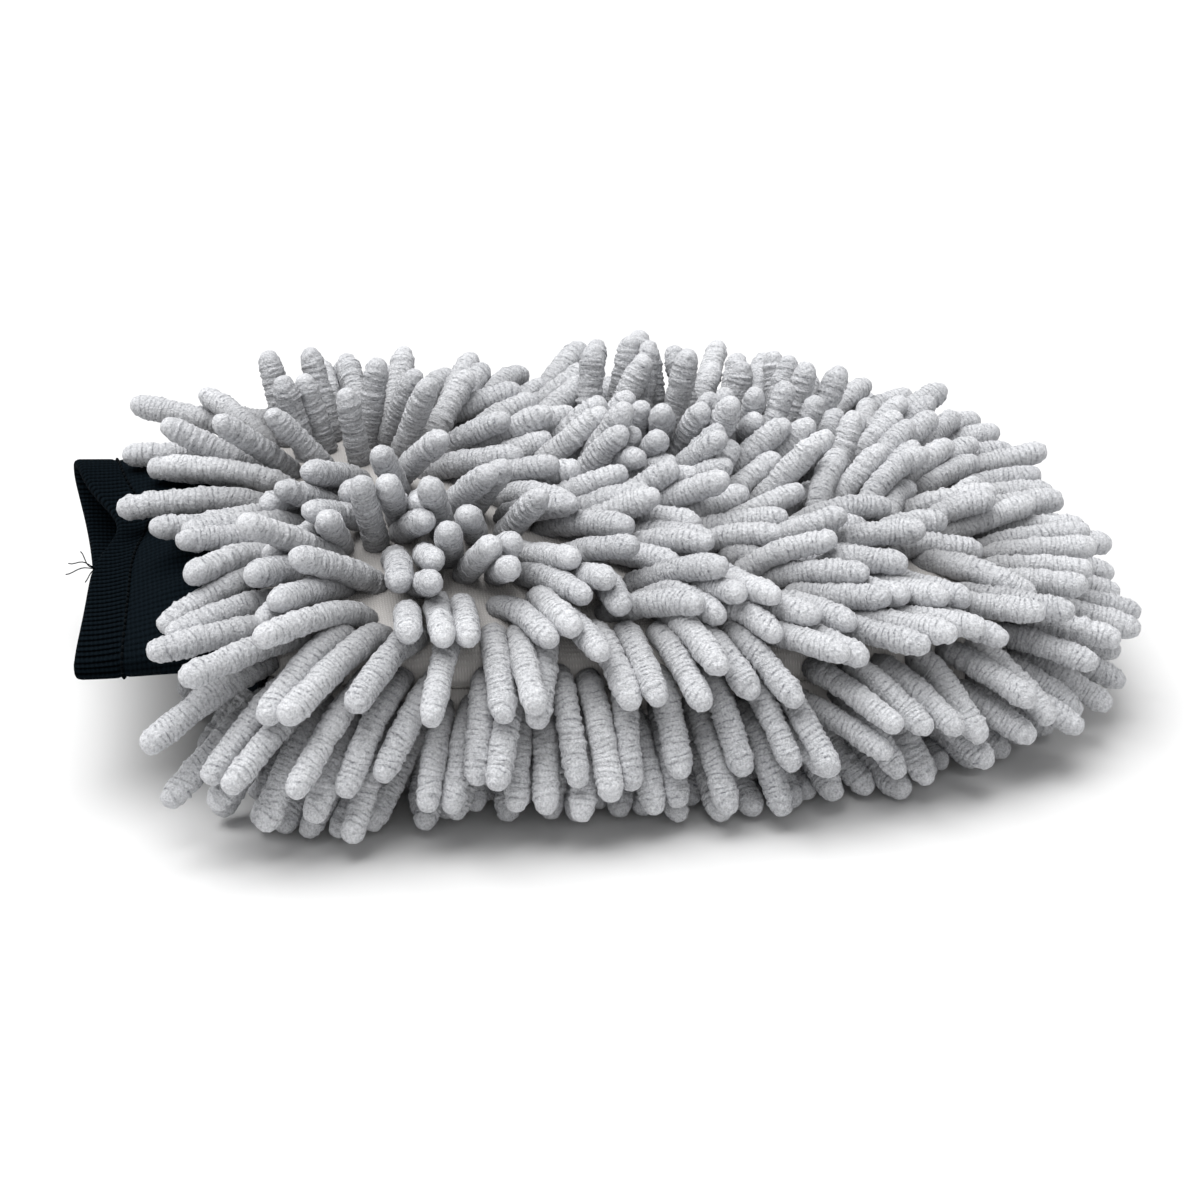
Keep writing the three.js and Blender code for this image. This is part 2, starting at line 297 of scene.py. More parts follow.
# ----------------------------------------------------- where the fingers spring
# How the pile of the upper face lies: at (x, y) it is stroked towards (dx, dy),
# and it stands up by lift, from 0, flat, to 1, upright.
STROKES = np.array([
    # x, y, dx, dy, lift
    (2, 68, -0.7, 0.7, 0.35),
    (4, 44, -0.9, 0.3, 0.30),
    (3, 15, -1.0, 0.10, 0.12),
    (3, -18, -1.0, 0.0, 0.10),
    (3, -48, -1.0, -0.15, 0.12),
    (5, -68, -0.8, -0.5, 0.15),
    (14, 6, -1.0, 0.05, 0.15),
    (13, -12, -0.95, -0.1, 0.20),
    (15, -32, -0.8, -0.5, 0.35),
    (14, -52, -0.6, -0.7, 0.35),
    (26, 70, 0.0, 0.9, 0.45),
    (30, 50, 0.1, 0.5, 0.65),
    (18, 34, -0.6, 0.1, 0.60),
    (32, 30, -0.1, -0.4, 0.75),
    (26, 14, -0.5, -0.5, 0.65),
    (40, 14, 0.1, -0.8, 0.62),
    (28, -4, -0.3, -0.8, 0.65),
    (24, -20, -0.3, -0.8, 0.60),
    (38, -10, 0.0, -0.9, 0.65),
    (34, -32, 0.0, -0.9, 0.65),
    (50, -24, 0.2, -0.9, 0.60),
    (30, -58, -0.2, -1.0, 0.40),
    (52, 65, 0.6, 0.7, 0.40),
    (46, 36, 0.5, 0.0, 0.55),
    (62, 32, 0.9, 0.3, 0.25),
    (52, 10, 0.7, -0.2, 0.45),
    (64, 4, 1.0, 0.1, 0.20),
    (55, -42, 0.1, -0.9, 0.55),
    (55, -62, 0.0, -1.0, 0.50),
    (78, 62, 0.8, 0.5, 0.35),
    (76, 32, 0.9, 0.4, 0.20),
    (75, 5, 1.0, 0.1, 0.18),
    (80, -30, 0.8, -0.4, 0.35),
    (82, -62, 0.6, -0.8, 0.25),
    (102, 74, 0.3, 0.9, 0.40),
    (105, 60, 0.1, 0.9, 0.45),
    (105, 45, 0.0, 0.1, 0.75),
    (105, 20, 0.0, -0.9, 0.60),
    (100, -10, 0.9, 0.0, 0.30),
    (105, -40, 1.0, -0.1, 0.10),
    (110, -65, 0.8, -0.6, 0.15),
    (132, 76, 0.1, 0.9, 0.45),
    (135, 62, 0.1, 0.9, 0.35),
    (135, 50, 0.1, 0.9, 0.40),
    (135, 38, 0.0, -0.1, 0.80),
    (135, 25, 0.0, -0.8, 0.60),
    (135, 0, 0.7, 0.2, 0.50),
    (135, -30, 0.9, 0.2, 0.18),
    (140, -62, 0.9, -0.4, 0.12),
    (165, 72, 0.3, 0.8, 0.45),
    (168, 56, 0.2, 0.9, 0.35),
    (162, 46, 0.1, 0.9, 0.40),
    (165, 30, 0.2, 0.0, 0.70),
    (165, 10, 0.7, 0.3, 0.55),
    (168, -22, 0.9, 0.35, 0.22),
    (168, -60, 0.9, -0.3, 0.18),
    (195, 55, 0.6, 0.6, 0.50),
    (195, 20, 0.8, 0.4, 0.40),
    (195, -15, 0.9, 0.4, 0.25),
    (195, -50, 0.9, -0.3, 0.18),
])
STROKE_REACH = 12.0


def stroked(x, y):
    """The pile's direction on the upper face, and how far it stands up."""
    away = (x[:, None] - STROKES[:, 0]) ** 2 + (y[:, None] - STROKES[:, 1]) ** 2
    weight = np.exp(-away / (2 * STROKE_REACH**2)) + 1e-9
    weight /= weight.sum(1, keepdims=True)
    mixed = weight @ STROKES[:, 2:]
    return mixed[:, :2], mixed[:, 2]


class FingerPatch:
    """The fingers of one row or one length of fringe: where each one springs
    from, the way it leaves the cloth, the way it has been stroked, how heavily
    it hangs and how stiff it is."""

    def __init__(self, node, roots, normals, strokes, weights, stiffness):
        self.node = node
        self.roots = roots
        self.normals = unit(normals)
        self.strokes = unit(strokes)
        self.weights = weights
        self.stiffness = stiffness


def face_patch(node, row, side):
    """One row of a face. side is 1 on the upper face and -1 on the lower one."""
    low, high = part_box(node)
    first, last = (low.x - WRIST_X) / MM, (high.x - WRIST_X) / MM
    count = round((last - first + STITCH_GAP) / STITCH_PITCH)
    x = np.linspace(first + ROW_MARGIN, last - ROW_MARGIN, count) + rng.uniform(-2.4, 2.4, count)
    y = (row - (ROWS - 1) / 2) * ROW_PITCH + rng.uniform(-3.2, 3.2, count)
    z = seam_at(x) + side * (rise_at(x, y) - ROOT_DEPTH)
    roots = np.stack([x, y, z], -1)
    normals = unit(slope_of(pouch_gauge, roots))
    if side > 0:
        lie, lift = stroked(x, y)
        lift = np.clip(lift + rng.normal(0, 0.13, count), 0.05, 1)
        turn = rng.normal(0, 0.42, count)
        dx = lie[:, 0] * np.cos(turn) - lie[:, 1] * np.sin(turn)
        dy = lie[:, 0] * np.sin(turn) + lie[:, 1] * np.cos(turn)
        dx, dy = dx + rng.normal(0, 0.12, count), dy + rng.normal(0, 0.12, count)
        strokes = np.stack([dx, dy, 0 * x], -1) * (1.15 - lift[:, None])
        strokes += normals * lift[:, None]
        weights, stiffness = 1.3 - 1.2 * lift, 0.25 + 0.6 * lift
    else:
        strokes = np.stack([(x - WIDEST) / 110, y / 75, 0 * x], -1)
        strokes += rng.normal(0, 0.5, (count, 3)) * [1, 1, 0]
        strokes = unit(strokes) + np.array([0, 0, -0.45])
        weights, stiffness = np.ones(count), np.full(count, 0.4)
    return FingerPatch(node, roots, normals, strokes, weights, stiffness)


def fringe_patch(node, start, end, side, height, droop):
    """Fingers round a stretch of the rim, height away from the seam."""
    angles = np.linspace(start, end, 200) * math.pi
    level = (1 - (height / RISE) ** CROWN) ** (1 / CROWN)
    ex, ey = outline(angles)
    x, y = WIDEST + (ex - WIDEST) * level, ey * level
    along = np.concatenate([[0], np.cumsum(np.hypot(np.diff(x), np.diff(y)))])
    count = round(along[-1] / level / FRINGE_PITCH)
    at = (np.arange(count) + 0.5 + rng.uniform(-0.22, 0.22, count)) * along[-1] / count
    x, y = np.interp(at, along, x), np.interp(at, along, y)
    x = np.maximum(x, FRINGE_FIRST)
    z = seam_at(x) + side * (height * thickness_at(x) / RISE) + rng.uniform(-1.8, 1.8, count)
    roots = np.stack([x, y, z], -1)
    for _ in range(3):
        slope = slope_of(pouch_gauge, roots)
        steep = np.linalg.norm(slope, axis=-1, keepdims=True)
        roots -= (pouch_gauge(roots)[:, None] - 1) * slope / steep**2
    normals = unit(slope_of(pouch_gauge, roots))
    roots -= normals * ROOT_DEPTH
    normals = unit(normals * [1, 1, 0.25])
    # The rim's fingers fan towards the two ends of the mitt, and hang.
    fan = np.clip((x - FAN_MIDDLE) / FAN_MIDDLE, -1.1, 0.9) + rng.normal(0, 0.16, count)
    corner = ease((np.abs(fan) - 0.45) / 0.5)
    hang = rng.normal(0, 0.12, count) - droop * (1 - 0.6 * corner)
    hang -= np.where(fan < 0, 0.55, 0) * corner
    sideways = np.where(fan < 0, 1.6 if side > 0 else 1.2, 0.9) * fan
    strokes = normals + np.stack([sideways, 0 * x, hang], -1)
    weights = rng.uniform(0.6, 1.3, count) * (1 - 0.7 * corner)
    return FingerPatch(node, roots, normals, strokes, weights, np.full(count, 0.26))


def all_patches():
    patches = []
    for row in range(ROWS):
        label = f"{row + 1:02d}"
        patches.append(face_patch(f"upper_finger_row_{label}", row, 1))
        patches.append(face_patch(f"lower_finger_row_{label}", row, -1))
    for tier, side, height, droop in FRINGE_TIERS:
        for i, length in enumerate(FRINGE_LENGTHS):
            ends = FRINGE_ENDS[i], FRINGE_ENDS[i + 1]
            patches.append(fringe_patch(f"{tier}_{length}", *ends, side, height, droop))
    return patches


# ------------------------------------------------------- letting the pile settle
class Pile:
    """Every finger as a chain of beads, which hangs, leans and rests on the
    pouch, the cuff, the table and its neighbours."""

    def __init__(self, patches):
        self.roots = np.concatenate([p.roots for p in patches])
        self.normals = np.concatenate([p.normals for p in patches])
        self.strokes = np.concatenate([p.strokes for p in patches])
        self.weights = np.concatenate([p.weights for p in patches])[:, None]
        self.stiffness = np.concatenate([p.stiffness for p in patches])[:, None]
        count = len(self.roots)
        self.lengths = FINGER_LENGTH + rng.uniform(-4.0, 2.5, count)
        wristward = np.clip(-self.strokes[:, 0] - 0.4, 0, 0.5)
        self.lengths += WRIST_EXTRA * 2 * wristward * (self.roots[:, 0] < 40)
        self.lengths -= STANDING_LESS * np.maximum(self.stiffness[:, 0] - 0.35, 0)
        self.step = (self.lengths - FINGER_RADIUS) / (BEADS - 1)
        reach = self.step[:, None, None] * np.arange(BEADS)[None, :, None]
        self.beads = self.roots[:, None] + self.normals[:, None] * reach
        self.drift = np.zeros_like(self.beads)
        self.free = np.ones((count, BEADS))
        self.free[:, 0] = 0
        self.free[:, 1] = 0.25
        self.chain = np.repeat(np.arange(count), BEADS)

    def find_neighbours(self, reach):
        flat = self.beads.reshape(-1, 3)
        tree = KDTree(len(flat))
        for i, point in enumerate(flat.tolist()):
            tree.insert(point, i)
        tree.balance()
        first, second = [], []
        for i, point in enumerate(flat.tolist()):
            for _, j, _ in tree.find_range(point, reach):
                if j > i and self.chain[i] != self.chain[j]:
                    first.append(i)
                    second.append(j)
        self.first = np.array(first, int)
        self.second = np.array(second, int)

    def keep_apart(self, width, strength):
        flat = self.beads.reshape(-1, 3)
        between = flat[self.first] - flat[self.second]
        away = np.maximum(np.linalg.norm(between, axis=1), 1e-3)
        hit = np.nonzero(away < width)[0]
        if not len(hit):
            return
        a, b = self.first[hit], self.second[hit]
        free = self.free.reshape(-1)
        share = free[a] + free[b] + 1e-9
        push = between[hit] * ((width - away[hit]) / away[hit] * strength)[:, None]
        total = np.zeros_like(flat)
        for axis in range(3):
            given = push[:, axis]
            total[:, axis] += np.bincount(a, given * free[a] / share, len(flat))
            total[:, axis] -= np.bincount(b, given * free[b] / share, len(flat))
        touches = np.bincount(a, minlength=len(flat)) + np.bincount(b, minlength=len(flat))
        flat += total / np.maximum(1, touches * 0.5)[:, None]

    def straighten(self):
        for i in range(2, BEADS):
            a, b, c = self.beads[:, i - 2], self.beads[:, i - 1], self.beads[:, i]
            bow = (a - 2 * b + c) * self.stiffness / 4
            self.beads[:, i - 2] -= bow * self.free[:, i - 2, None]
            self.beads[:, i - 1] += 2 * bow * self.free[:, i - 1, None]
            self.beads[:, i] -= bow * self.free[:, i, None]

    def keep_lengths(self):
        for i in range(1, BEADS):
            a, b = self.beads[:, i - 1], self.beads[:, i]
            between = b - a
            long = np.maximum(np.linalg.norm(between, axis=1), 1e-6)
            pull = between * ((long - self.step) / long)[:, None]
            free_a, free_b = self.free[:, i - 1, None], self.free[:, i, None]
            total = free_a + free_b
            self.beads[:, i - 1] += pull * free_a / total
            self.beads[:, i] -= pull * free_b / total

    def stay_outside(self, gap):
        flat = self.beads.reshape(-1, 3)
        loose = np.tile(np.arange(BEADS) > 0, len(self.roots))
        on_pouch = loose & (flat[:, 0] > 0) & (pouch_gauge(flat) < 1.25)
        push_out(pouch_gauge, flat, gap, on_pouch)
        near_cuff = loose & (flat[:, 0] <= 0) & (flat[:, 0] > CUFF_MOUTH - 4)
        on_cuff = near_cuff & (cuff_gauge(flat) < 1.5)
        push_out(cuff_gauge, flat, gap, on_cuff)
        low = flat[:, 2] < FINGER_RADIUS + TABLE_GAP
        flat[low & loose, 2] = FINGER_RADIUS + TABLE_GAP

    def settle(self, turns):
        for turn in range(turns):
            t = turn / turns
            if turn % NEIGHBOUR_EVERY == 0:
                self.find_neighbours(NEIGHBOUR_REACH)
            lean = ease(t / 0.4)
            way = unit(self.normals * (1 - lean) + self.strokes * lean)
            for bead, hold in ROOT_HOLDS:
                aim = self.roots + way * bead * self.step[:, None]
                self.beads[:, bead] += (aim - self.beads[:, bead]) * hold
            before = self.beads.copy()
            self.drift *= LASTING
            self.drift[..., 2] -= GRAVITY * self.weights
            self.drift += COMBING * way[:, None]
            self.beads += self.drift * self.free[..., None]
            self.straighten()
            self.keep_lengths()
            self.keep_apart(2 * FINGER_RADIUS - 0.35, 0.55)
            self.stay_outside(FINGER_RADIUS - 0.2)
            self.keep_lengths()
            self.drift = np.clip(self.beads - before, -FASTEST, FASTEST)
            self.beads[:, 0] = self.roots


# --------------------------------------------------------------- building meshes
def make_mesh(name, points, faces, material):
    mesh = bpy.data.meshes.new(name)
    mesh.from_pydata(in_frame(points).tolist(), [], faces)
    mesh.polygons.foreach_set("use_smooth", [True] * len(mesh.polygons))
    mesh.update()
    piece = bpy.data.objects.new(name, mesh)
    scene.collection.objects.link(piece)
    mesh.materials.append(material)
    return piece


def ring_faces(rings, columns, start=0, closed=False):
    """Quads between rings of points, each ring of so many columns."""
    faces = []
    for r in range(rings if closed else rings - 1):
        a, b = start + r * columns, start + (r + 1) % rings * columns
        for c in range(columns):
            n = (c + 1) % columns
            faces.append((a + c, a + n, b + n, b + c))
    return faces


def end_caps(rings, columns, start=0):
    last = start + (rings - 1) * columns
    return [tuple(start + c for c in reversed(range(columns))), tuple(range(last, last + columns))]


def note(piece, name, values):
    """Stores a number at each point, for a material to read."""
    layer = piece.data.attributes.new(name, "FLOAT", "POINT")
    layer.data.foreach_set("value", np.asarray(values, np.float32).ravel())


def threads(paths, radius, sides=6, closed=False):
    """Points and faces of thin round threads along paths."""
    points, faces = [], []
    turn = np.arange(sides) * 2 * math.pi / sides
    base = 0
    for path in paths:
        path = np.asarray(path, float)
        if closed:
            forward = unit(np.roll(path, -1, 0) - np.roll(path, 1, 0))
        else:
            forward = unit(np.gradient(path, axis=0))
        side = unit(np.cross(forward, [0.13, 0.27, 0.95]))
        up = np.cross(side, forward)
        ring = side[:, None] * np.cos(turn)[:, None] + up[:, None] * np.sin(turn)[:, None]
        points.append((path[:, None] - ring * radius).reshape(-1, 3))
        faces += ring_faces(len(path), sides, base, closed)
        if not closed:
            faces += end_caps(len(path), sides, base)
        base += len(path) * sides
    return np.concatenate(points), faces


SIDES = 12  # points round a finger
RINGS = 90  # rings of them along it


def smooth_line(beads):
    """A fine line through each chain of beads, as points and forward directions."""
    first = 2 * beads[:, :1] - beads[:, 1:2]
    last = 2 * beads[:, -1:] - beads[:, -2:-1]
    p = np.concatenate([first, beads, last], 1)
    u = np.linspace(0, BEADS - 1 - 1e-6, RINGS)
    k = u.astype(int)
    f = (u - k)[None, :, None]
    a, b, c, d = p[:, k], p[:, k + 1], p[:, k + 2], p[:, k + 3]
    # A cubic B-spline, which rounds off the corners between the beads.
    line = (
        a * (1 - f) ** 3
        + b * (3 * f**3 - 6 * f**2 + 4)
        + c * (-3 * f**3 + 3 * f**2 + 3 * f + 1)
        + d * f**3
    ) / 6
    return line, unit(np.gradient(line, axis=1))


def knobbly(count, passes):
    """Soft random lumps over each finger's skin, about 1 high."""
    lumps = rng.normal(0, 1, (count, RINGS, SIDES))
    for axis in (1, 2):
        for _ in range(passes):
            lumps = (np.roll(lumps, 1, axis) + 2 * lumps + np.roll(lumps, -1, axis)) / 4
    return lumps / lumps.std()


def finger_skin(count, s, theta, start):
    """Relief of a finger's skin, uneven ribs of tufts with a rough nap, and how
    many ribs there are from its root to each point."""
    wander = 0.34 * np.sin(theta + s * 0.35 + start * 3)
    wander += 0.20 * np.sin(2 * theta - s * 0.5 + start * 5)
    pitch = rng.uniform(1.4, 1.75, (count, 1, 1))
    ribs = s / pitch + wander + start
    strength = 0.6 + 0.4 * np.sin(s * 0.9 + theta * 2 + start * 7)
    bands = np.abs(np.sin(math.pi * ribs)) - 0.64
    relief = 0.27 * bands * strength + 0.12 * knobbly(count, 2) + 0.10 * knobbly(count, 0)
    return relief, ribs


def across_line(forward):
    """Two directions square to each point of the lines, which don't twist."""
    aside = unit(np.cross(forward[:, 0], [0.31, 0.17, 0.93]))
    asides = np.zeros_like(forward)
    for r in range(RINGS):
        aside = unit(aside - forward[:, r] * (aside * forward[:, r]).sum(1, keepdims=True))
        asides[:, r] = aside
    return asides, np.cross(forward, asides)


def build_fingers(patch, beads, lengths, material):
    count = len(beads)
    line, forward = smooth_line(beads)
    u = np.linspace(0, 1, RINGS)
    # The line runs on past the last bead, so that the rounded end has room.
    overrun = FINGER_RADIUS * 0.55 * ease((u - 0.9) / 0.1)
    line = line + forward[:, -1:, :] * overrun[None, :, None]
    s = u[None, :] * lengths[:, None]
    from_tip = lengths[:, None] - s
    radius = FINGER_RADIUS * rng.uniform(0.93, 1.06, (count, 1))
    cap = np.sqrt(np.clip(1 - (1 - from_tip / radius) ** 2, 0, 1))
    profile = np.where(from_tip < radius, cap, 1.0)
    swell = 1 + 0.03 * np.sin(s * 0.45 + rng.uniform(0, 6, (count, 1)))
    neck = 0.88 + 0.12 * ease(s / 4.0)
    start = rng.uniform(0, 2 * math.pi, (count, 1, 1))
    theta = (np.arange(SIDES) * 2 * math.pi / SIDES)[None, None, :] + start
    relief, ribs = finger_skin(count, s[:, :, None], theta, start)
    relief *= np.clip(profile[:, :, None] * 1.3 - 0.1, 0, 1)
    reach = np.maximum((radius * profile * neck * swell)[:, :, None] + relief, 0.02)
    aside, other = across_line(forward)
    ring = aside[:, :, None] * np.cos(theta)[..., None]
    ring = ring + other[:, :, None] * np.sin(theta)[..., None]
    points = (line[:, :, None] + ring * reach[..., None]).reshape(-1, 3)
    one = ring_faces(RINGS, SIDES) + end_caps(RINGS, SIDES)
    faces = []
    for f in range(count):
        base = f * RINGS * SIDES
        faces += [tuple(base + i for i in face) for face in one]
    piece = make_mesh("chenille_" + patch.node, points, faces, material)
    shape = (count, RINGS, SIDES)
    note(piece, "ribs", ribs)
    note(piece, "tone", np.broadcast_to(rng.uniform(0, 1, (count, 1, 1)), shape))
    note(piece, "along", np.broadcast_to(u[None, :, None], shape))
    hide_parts(patch.node)
    return piece


# -------------------------------------------------------------------- materials
class Value:
    """A material's number, on which arithmetic adds the maths nodes."""

    def __init__(self, made, socket):
        self.made, self.socket = made, socket

    def maths(self, operation, *values):
        return self.made.node("ShaderNodeMath", {"operation": operation}, dict(enumerate(values)))

    def __add__(self, other):
        return self.maths("ADD", self, other)

    def __sub__(self, other):
        return self.maths("SUBTRACT", self, other)

    def __mul__(self, other):
        return self.maths("MULTIPLY", self, other)

    def __pow__(self, other):
        return self.maths("POWER", self, other)

    def __rsub__(self, other):
        return self.maths("SUBTRACT", other, self)

    __radd__ = __add__
    __rmul__ = __mul__

    def clamped(self):
        return self.maths("MINIMUM", self.maths("MAXIMUM", self, 0.0), 1.0)

    def maths_alone(self, operation):
        return self.maths(operation, self)

    def output(self, name):
        """Another output of the same node."""
        return Value(self.made, self.socket.node.outputs[name])


class Material:
    def __init__(self, name, roughness, gloss=0.15, **constants):
        self.material = bpy.data.materials.new(name)
        self.material.use_nodes = True
        self.nodes = self.material.node_tree.nodes
        self.links = self.material.node_tree.links
        self.shader = self.nodes["Principled BSDF"]
        self.shader.inputs["Roughness"].default_value = roughness
        self.shader.inputs["Specular IOR Level"].default_value = gloss
        for socket, value in constants.items():
            self.shader.inputs[socket.replace("_", " ")].default_value = value

    def plug(self, socket, value):
        if isinstance(value, Value):
            self.links.new(value.socket, socket)
        else:
            socket.default_value = value

    def node(self, kind, settings=None, inputs=None):
        made = self.nodes.new(kind)
        for name, value in (settings or {}).items():
            setattr(made, name, value)
        for key, value in (inputs or {}).items():
            self.plug(made.inputs[key], value)
        return Value(self, next(o for o in made.outputs if o.enabled))

    def attribute(self, name):
        return self.node("ShaderNodeAttribute", {"attribute_name": name}).output("Fac")

    def place(self):
        return self.node("ShaderNodeTexCoord").output("Object")

    def noise(self, scale, detail=2.0, roughness=0.5):
        """Random cloud, scale in blobs per metre."""
        inputs = {"Vector": self.place(), "Scale": scale, "Detail": detail, "Roughness": roughness}
        return self.node("ShaderNodeTexNoise", None, inputs).output("Fac")

    def lines(self, direction, scale, distortion=1.2):
        """Wavy parallel lines."""
        settings = {"wave_type": "BANDS", "bands_direction": direction}
        inputs = {"Vector": self.place(), "Scale": scale, "Distortion": distortion}
        inputs.update({"Detail": 1.0, "Detail Scale": 2.0})
        return self.node("ShaderNodeTexWave", settings, inputs).output("Fac")

    def mix(self, factor, first, second):
        made = self.node("ShaderNodeMix", {"data_type": "RGBA"}, {0: factor, 6: first, 7: second})
        return Value(self, made.socket.node.outputs[2])

    def bump(self, height, distance, strength=0.8, under=None):
        inputs = {"Height": height, "Distance": distance, "Strength": strength}
        if under is not None:
            inputs["Normal"] = under
        return self.node("ShaderNodeBump", None, inputs)

    def finish(self, base, normal):
        self.plug(self.shader.inputs["Base Color"], base)
        self.plug(self.shader.inputs["Normal"], normal)
        return self.material


def colour(red, green, blue):
    """An everyday 0 to 255 colour as the linear one that materials take."""
    linear = []
    for part in (red, green, blue):
        part /= 255
        linear.append(part / 12.92 if part <= 0.04045 else ((part + 0.055) / 1.055) ** 2.4)
    return (*linear, 1.0)


def chenille():
    """Soft cut pile: pale tufts, with painted shade in the broken creases between them, a fine nap,
    and painted shade darkening each finger towards its root.
    """
    m = Material("chenille", 0.95, 0.1, Sheen_Weight=0.15, Sheen_Roughness=0.6)
    waver, nap = m.noise(380, 2, 0.6), m.noise(1500, 3, 0.75)
    ridge = ((m.attribute("ribs") + waver * 0.9) * math.pi).maths_alone("SINE")
    ridge = ridge.maths_alone("ABSOLUTE")
    broken = (m.noise(520, 2, 0.6) * 2.6 - 0.8).clamped()
    tip = ((m.attribute("along") - 0.93) * 20).clamped()
    # Painted shade: the creases between the tufts are darkened, fading out at the finger's tip.
    crease = (1 - ridge) ** 1.9 * broken * (1 - tip)
    shade = crease * 0.62 + (1 - nap) * 1.6 - 0.68
    shade = shade + m.attribute("tone") * 0.16 + m.noise(26, 2, 0.5) * 0.25
    base = m.mix(shade.clamped(), colour(240, 241, 244), colour(118, 120, 126))
    # Painted shade: each finger darkens towards its root, where it sits down among its neighbours,
    # to the colour below.
    root = 1 - m.attribute("along")
    base = m.mix((root**2 * 0.8).clamped(), base, colour(72, 71, 71))
    height = ridge * broken * 0.6 + nap * 1.3
    return m.finish(base, m.bump(height, 0.0006, 0.9))


def cloth(name, light, dark, threads_per_metre, depth):
    """A fine flat knit: rows of stitches, with mottling and a little fluff."""
    m = Material(name, 0.9, 0.2, Sheen_Weight=0.15, Sheen_Roughness=0.5)
    weave = m.lines("X", threads_per_metre) * m.lines("Y", threads_per_metre * 0.8)
    shade = ((1 - weave) * 0.5 + m.noise(60, 3, 0.6) * 0.6 - 0.25).clamped()
    height = weave + m.noise(2500, 2, 0.6) * 0.4
    return m.finish(m.mix(shade, light, dark), m.bump(height, depth))


def rib_knit():
    """Black cotton rib: matt, with the faint grey bloom of its fibres and painted shade in the
    valleys between its ribs.
    """
    m = Material("rib_knit", 0.95, 0.02)
    stitches = m.lines("X", 260, 2.0)
    bloom = m.noise(1500, 3, 0.7)
    rib_valley_shade = m.attribute("rib_valley_shade")
    # Painted shade darkens the valleys between the ribs; the fibres' bloom and the stitch lines
    # feed the same mix.
    shade = (rib_valley_shade * 1.3 + (1 - bloom) * 0.7 + (1 - stitches) * 0.3 - 0.45).clamped()
    base = m.mix(shade, colour(13, 20, 25), colour(0, 1, 2))
    return m.finish(base, m.bump(stitches * 0.6 + bloom, 0.0003))


def thread(name, light, dark, gloss=0.3):
    """Spun sewing thread, with its twist."""
    m = Material(name, 0.7, gloss, Sheen_Weight=gloss / 3)
    twist = m.noise(2600, 2, 0.6)
    return m.finish(m.mix(twist, dark, light), m.bump(twist, 0.0002))


def elastic_web():
    """Woven elastic, with the rubber cords showing as ridges."""
    m = Material("elastic_web", 0.75, 0.3)
    cords = m.lines("X", 200, 0.5)
    return m.finish(m.mix(cords, colour(14, 15, 17), colour(44, 46, 50)), m.bump(cords, 0.0003))


CHENILLE = chenille()
BACKING = cloth("backing_cloth", colour(186, 183, 181), colour(144, 141, 138), 420, 0.0002)
WADDING = cloth("wadding", colour(236, 234, 228), colour(206, 203, 196), 120, 0.0006)
LINING = cloth("lining_cloth", colour(150, 149, 147), colour(104, 103, 101), 500, 0.0002)
RIB_KNIT = rib_knit()
ELASTIC = elastic_web()
PALE_THREAD = thread("pale_thread", colour(190, 188, 184), colour(130, 127, 122))
BLACK_THREAD = thread("black_thread", colour(9, 14, 18), colour(1, 3, 4), 0.03)


# ------------------------------------------------------------- the pouch's cloth
AROUND = 320  # points round the rim
UP = 26  # rings of them from the rim to the middle


def pouch_surface(side, depth, pinch, puff):
    """A layer's surface, from its rim to the middle, open along the wrist seam.
    pinch draws its rim in to the seam, and puff swells it between."""
    angles = np.linspace(-1, 1, AROUND, endpoint=False) * math.pi
    rim_x, rim_y = outline(angles, -depth)
    # The wrist cuts the outline off square.
    cut = np.where(rim_x < 0, WIDEST / (WIDEST - rim_x), 1.0)
    points = []
    for level in range(UP):
        turn = level / UP * math.pi / 2
        share = cut * math.cos(turn) ** (2 / CROWN)
        x = WIDEST + share * (rim_x - WIDEST)
        y = share * rim_y
        near_rim = rim_share(x, y) if depth == 0 else np.minimum(share / cut, 1)
        rise = rise_at(x, y) * (1 - depth / RISE)
        if depth and level == 0:
            rise = np.where(cut < 1, rise, 0.0)
        tuck = pinch * np.exp(-rise / 2.2) * (near_rim > 0.5)
        swell = puff * np.sin(turn * 2) * (
            0.6 * np.sin(angles * 11 + 1.3 * side) + 0.4 * np.sin(angles * 23 + 2.0)
        )
        swell = np.where(cut < 1, 0.3 * swell, swell)
        x = np.maximum(x - tuck * np.cos(angles) * (cut == 1), 0.0)
        y = y - tuck * np.sin(angles) * (cut == 1)
        z = seam_at(x) + side * (0.45 + rise + 0.5 * swell)
        points.append(np.stack([x, y, z], -1))
    crown = seam_at(WIDEST) + side * (0.45 + RISE - depth)
    points.append(np.array([[WIDEST, 0, crown]]))
    return np.concatenate(points)


def pouch_layer(name, node, side, outer, inner, material, slot, pinch=0.0, puff=0.0):
    """One layer of one face, as a closed shell between two depths."""
    surfaces = [pouch_surface(side, outer, pinch, puff), pouch_surface(side, inner, pinch, puff)]
    size = UP * AROUND + 1
    faces = []
    for start in (0, size):
        part = ring_faces(UP, AROUND, start)
        ring, top = start + (UP - 1) * AROUND, start + UP * AROUND
        part += [(ring + c, ring + (c + 1) % AROUND, top) for c in range(AROUND)]
        faces += [tuple(reversed(f)) for f in part] if start else part
    for c in range(AROUND):
        n = (c + 1) % AROUND
        faces.append((c, size + c, size + n, n))
    if side < 0:
        faces = [tuple(reversed(f)) for f in faces]
    piece = make_mesh(name, np.concatenate(surfaces), faces, material)
    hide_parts(node)
    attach(piece, "pouch")
    return piece


def build_pouch():
    for word, side in (("upper", 1), ("lower", -1)):
        cover = pouch_layer(
            f"{word}_cover", f"{word}_panel", side, *COVER, BACKING, "backing", 1.6, 0.8
        )
        pad = pouch_layer(
            f"{word}_wadding", f"{word}_padding", side, *WADDING_LAYER, WADDING, "padding", 1.0
        )
        liner = pouch_layer(
            f"{word}_pocket_lining", f"{word}_lining", side, *POCKET_LINING, LINING, "lining"
        )


